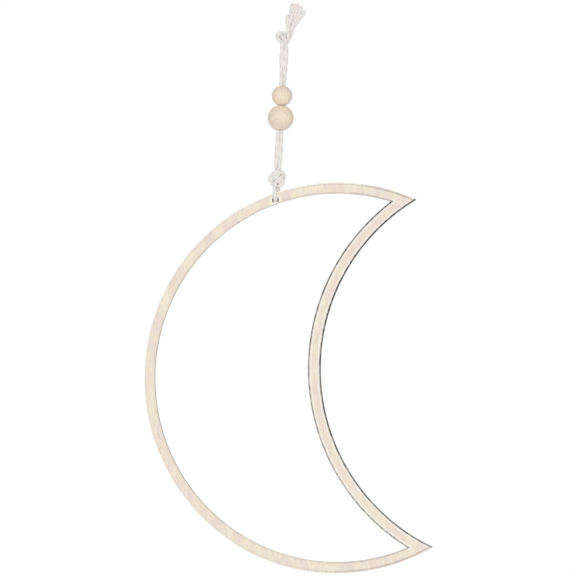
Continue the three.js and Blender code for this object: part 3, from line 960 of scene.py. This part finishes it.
# %% Finish of a bead
def bead_wood(name, centre, heart, grain, ring_width):
    """Rings: the distance from the tree's middle line, in ring widths. The bead's own place is
    moved to the origin first, and the grain's direction turned upright."""
    finish = Finish(name, 0.55)
    finish.shader.inputs["Specular IOR Level"].default_value = 0.35
    local = finish.add("ShaderNodeVectorMath", {"operation": "SUBTRACT"}, finish.place(), tuple(centre))
    local = finish.stretched(local, (1.0, 1.0, 1.0), grain)
    wander = finish.noise(local, 0.10, 2.0)
    x, y, _ = finish.parts(local)
    across_rings = apart_from(x, y, heart) / ring_width + wander * 1.6
    rings = (across_rings * (2 * math.pi)).sine() * 0.5 + 0.5
    fibres = finish.noise(finish.stretched(local, (1.0, 1.0, 0.07)), 2.4, 3.0, 0.6)
    pores = finish.noise(finish.stretched(local, (1.0, 1.0, 0.18)), 3.1, 1.0)
    patches = finish.noise(local, 0.16, 1.0)
    base = finish.mix(patches.ease(0.4, 0.6), tint(244, 229, 206), tint(238, 221, 206))
    base = finish.mix(rings**3 * 0.4, base, tint(226, 205, 180))
    base = finish.mix(fibres.ease(0.45, 0.75) * 0.45, base, tint(224, 205, 183))
    base = finish.mix(pores.ease(0.64, 0.74) * 0.5, base, tint(184, 160, 132))
    finish.colour(base)
    finish.put(finish.shader.inputs["Roughness"], 0.5 + fibres * 0.15)
    finish.bump(fibres - rings * 0.3, 0.03)
    return finish

# For each bead: its drop, the tree's middle from its own, its grain's turn and its ring width.
BEAD_GRAIN = {
    "large_bead": (LARGE_BEAD_DROP, (-3.0, 2.5), (math.radians(72), 0.1, 0.2), 3.1),
    "small_bead": (small_drop, (38.0, 9.0), (0.06, -0.05, 0.0), 2.2),
}
for node, (drop, *grain) in BEAD_GRAIN.items():
    dress(bead_wood("turned_" + node, on_cord(drop), *grain), beads[node])

# %% [markdown]
# ## Birch plywood, cut by a laser
# The face is pale birch: cream with pinkish patches, short streaks along its grain, which runs up
# and down. The laser scorches the wood that it cuts. On the bow along the bite the scorch is a thin
# dark line on both sides, nearly black at the bite itself, while round the rim it is a soft shade.
# A paler strip beside some edges and round the hole is a painted highlight. How far a point is from
# each cut edge follows from the two circles, so all of this is a formula as well. Only the cut walls
# lie between the two faces, so a point's depth alone tells wall from face.

# %% Finish of the plies
def plywood(name, core):
    finish = Finish(name, 0.72)
    place = finish.place()
    x, y, z = finish.parts(place)

    # Face: patches, fibres and short dark pores along the grain.
    patches = finish.noise(finish.stretched(place, (1.0, 1.0, 0.55)), 0.11, 3.0, 0.55)
    streaks = finish.noise(finish.stretched(place, (1.0, 1.0, 0.1)), 0.85, 3.0, 0.65)
    pores = finish.noise(finish.stretched(place, (1.0, 1.0, 0.2)), 1.1, 2.0, 0.6)
    wood = finish.mix(patches.ease(0.38, 0.62), tint(240, 231, 212), tint(236, 221, 213))
    wood = finish.mix(streaks.ease(0.4, 0.75) * 0.4, wood, tint(216, 201, 184))
    wood = finish.mix(pores.ease(0.58, 0.72) * 0.3, wood, tint(190, 169, 147))

    # Distances to the cut edges.
    from_disc = DISC_RADIUS - apart_from(x, z, disc_centre)
    from_bite = apart_from(x, z, bite_centre) - BITE_RADIUS
    from_hole = apart_from(x, z, hole_flat) - HOLE_RADIUS
    rim_side = (RIM_WIDTH - from_disc).most(0.0)
    bow_side = (BOW_WIDTH - from_bite).most(0.0)
    from_opening = (rim_side**2 + bow_side**2) ** 0.5
    on_bow = from_bite.ease(BOW_WIDTH + 1.5, BOW_WIDTH - 0.5)

    # Scorch on the face, uneven along the edge. Round the rim it is a faint line that grows
    # stronger towards the horns.
    uneven = finish.noise(place, 0.30, 3.0, 0.6).ease(0.3, 0.7, 0.6, 1.1)
    upward = z.ease(-330.0, -160.0)
    horns = x.ease(-10.0, 100.0)
    bite_scorch = from_bite.ease(1.25, 0.45) * (0.9 + upward * 0.2)
    bow_scorch = from_opening.ease(1.6, 0.8) * on_bow * (0.72 + upward * 0.24)
    inner_scorch = from_opening.ease(1.8, 0.6) * (0.1 + horns * 0.3)
    rim_scorch = from_disc.ease(2.2, 1.4) * from_disc.ease(0.2, 1.0) * (0.1 + horns * 0.3)
    # Round the hole: a faint scorch ring, and beside the cord a strong dark patch that is painted shade
    # of the gaps between the cord and the hole.
    beside_cord = abs(x - hole_flat[0]).ease(1.3, 2.0)
    hole_scorch_and_shade = from_hole.ease(0.9, 0.3) * (0.06 + beside_cord * 0.86)
    scorch = bite_scorch.most(bow_scorch).most(inner_scorch).most(rim_scorch) * uneven

    # Painted highlight: a paler strip along the rim's outer edge, just inside the bow's two lines and
    # round the hole, where the eased edges would catch the light.
    rim_highlight = from_disc.ease(1.5, 0.5) * x.ease(75.0, 45.0) * z.ease(-400.0, -350.0) * 0.9
    bow_highlight = from_bite.ease(2.8, 1.6).most(from_opening.ease(3.2, 2.2)) * on_bow * 0.5
    hole_highlight = from_hole.ease(2.8, 1.4) * 0.6
    wood = finish.mix(rim_highlight.most(bow_highlight).most(hole_highlight), wood, tint(252, 250, 246))
    face_colour = finish.mix(scorch.least(1.0), wood, tint(62, 56, 49))
    face_colour = finish.mix(hole_scorch_and_shade, face_colour, tint(74, 46, 38))

    # Walls: pale on the rim, charred on the bow, brown in the hole, with fine lines across the board.
    to_bow = abs(from_bite).least(abs(from_bite - BOW_WIDTH))
    in_hole = from_hole.ease(0.8, 0.2)
    charred = to_bow.ease(0.6, 0.15).most(in_hole)
    lines = finish.noise(finish.stretched(place, (1.0, 0.04, 1.0)), 2.6, 2.0, 0.6)
    pale = finish.mix(lines, tint(238, 229, 217), tint(208, 194, 177))
    dark = finish.mix(lines, tint(74, 62, 53), tint(44, 36, 31))
    if core:
        pale = finish.mix(lines, tint(230, 219, 204), tint(196, 180, 160))
    wall_colour = finish.mix(charred, pale, dark)
    wall_colour = finish.mix(in_hole * 0.7, wall_colour, tint(112, 72, 58))
    wall = abs(y).ease(face - 0.02, face - 0.1)
    finish.colour(finish.mix(wall, face_colour, wall_colour))
    finish.put(finish.shader.inputs["Roughness"], 0.66 + wall * 0.2 + streaks * 0.08)
    finish.bump(streaks - scorch * 0.3, 0.035)
    return finish

veneer = plywood("birch_face_veneer", False)
core_veneer = plywood("birch_core_veneer", True)
dress(veneer, plies["moon_front_ply"], plies["moon_back_ply"])
dress(core_veneer, plies["moon_core_ply"])

# %% [markdown]
# ## Light, background and floor
# The picture is a product shot: even white all round, with the fronts a little brighter than the
# sides. A pale world gives the even light, and wide lamps near the camera brighten the front, so
# that the beads darken softly to their rims. One lamp lights the back, and one shines up from below,
# as light comes back from a white table. Rays from the camera, and those that mirror or pass
# through, see plain white. The moon hangs, so the floor lies well below it. It takes the soft shadow
# but casts none, or it would stop the lamp from below, and a share of plain white keeps it pale
# where the camera sees it.

# %% World, lamps and floor
WHITE = (1.0, 1.0, 1.0, 1.0)
AMBIENT = 0.49
FLOOR_HEIGHT = -1.2
FLOOR_HALF = 8.0
FLOOR_WHITE = 0.8

def background_seen(tree):
    """1 for a ray from the camera or one that mirrors or passes through, and 0 for one that lights:
    the largest of the three marks that a ray carries."""
    path = tree.nodes.new("ShaderNodeLightPath")
    seen = path.outputs["Is Camera Ray"]
    for ray in ("Is Glossy Ray", "Is Transmission Ray"):
        either = tree.nodes.new("ShaderNodeMath")
        either.operation = "MAXIMUM"
        tree.links.new(seen, either.inputs[0])
        tree.links.new(path.outputs[ray], either.inputs[1])
        seen = either.outputs[0]
    return seen

world = bpy.data.worlds.new("studio")
bpy.context.scene.world = world
world.use_nodes = True
sky = world.node_tree.nodes["Background"]
sky.inputs["Color"].default_value = WHITE
level = world.node_tree.nodes.new("ShaderNodeMapRange")
level.inputs["To Min"].default_value = AMBIENT
level.inputs["To Max"].default_value = 1.0
world.node_tree.links.new(background_seen(world.node_tree), level.inputs["Value"])
world.node_tree.links.new(level.outputs[0], sky.inputs["Strength"])

def lamp(name, bearing, rise, share, softness):
    """A wide distant lamp. Its share is the light it gives to a white surface that faces it."""
    light = bpy.data.lights.new(name, "SUN")
    light.energy = math.pi * share
    light.angle = math.radians(softness)
    placed(name, light).rotation_euler = towards(bearing, rise).to_track_quat("Z", "Y").to_euler()

lamp("key_lamp", 15.0, -2.0, 0.43, 40.0)
lamp("fill_lamp", -25.0, 10.0, 0.10, 60.0)
lamp("back_lamp", 200.0, 25.0, 0.26, 60.0)
lamp("bounce_lamp", 0.0, -55.0, 0.20, 60.0)

def flat_sheet(name, half, height, count=9):
    """A square sheet, made as a grid of points with its normal up."""
    line = np.linspace(-half, half, count)
    x, y = np.meshgrid(line, line)
    points = np.stack([x, y, np.full_like(x, height)], axis=-1).reshape(-1, 3)
    index = np.arange(count**2).reshape(count, count)
    faces = np.stack([index[:-1, :-1], index[:-1, 1:], index[1:, 1:], index[1:, :-1]], axis=-1)
    mesh = bpy.data.meshes.new(name)
    mesh.from_pydata(points, [], faces.reshape(-1, 4).tolist())
    return placed(name, mesh)

floor = flat_sheet("floor", FLOOR_HALF, FLOOR_HEIGHT)
floor.visible_shadow = False
floor_finish = Finish("studio_floor", 0.9)
grain = floor_finish.noise(floor_finish.place(), 0.02)
floor_finish.colour(floor_finish.mix(grain, tint(238, 237, 235), tint(234, 233, 231)))
glow = floor_finish.add("ShaderNodeEmission", {}, WHITE, 1.0)
seen = Reading(floor_finish, background_seen(floor_finish.material.node_tree))
matt = Reading(floor_finish, floor_finish.shader.outputs[0])
floor_look = floor_finish.add("ShaderNodeMixShader", {}, seen * FLOOR_WHITE, matt, glow)
floor_finish.put(floor_finish.nodes["Material Output"].inputs["Surface"], floor_look)
dress(floor_finish, floor)

bpy.context.scene.view_settings.view_transform = "Standard"

# %% [markdown]
# ## Update the scene

# %% Update the scene
bpy.context.view_layer.update()
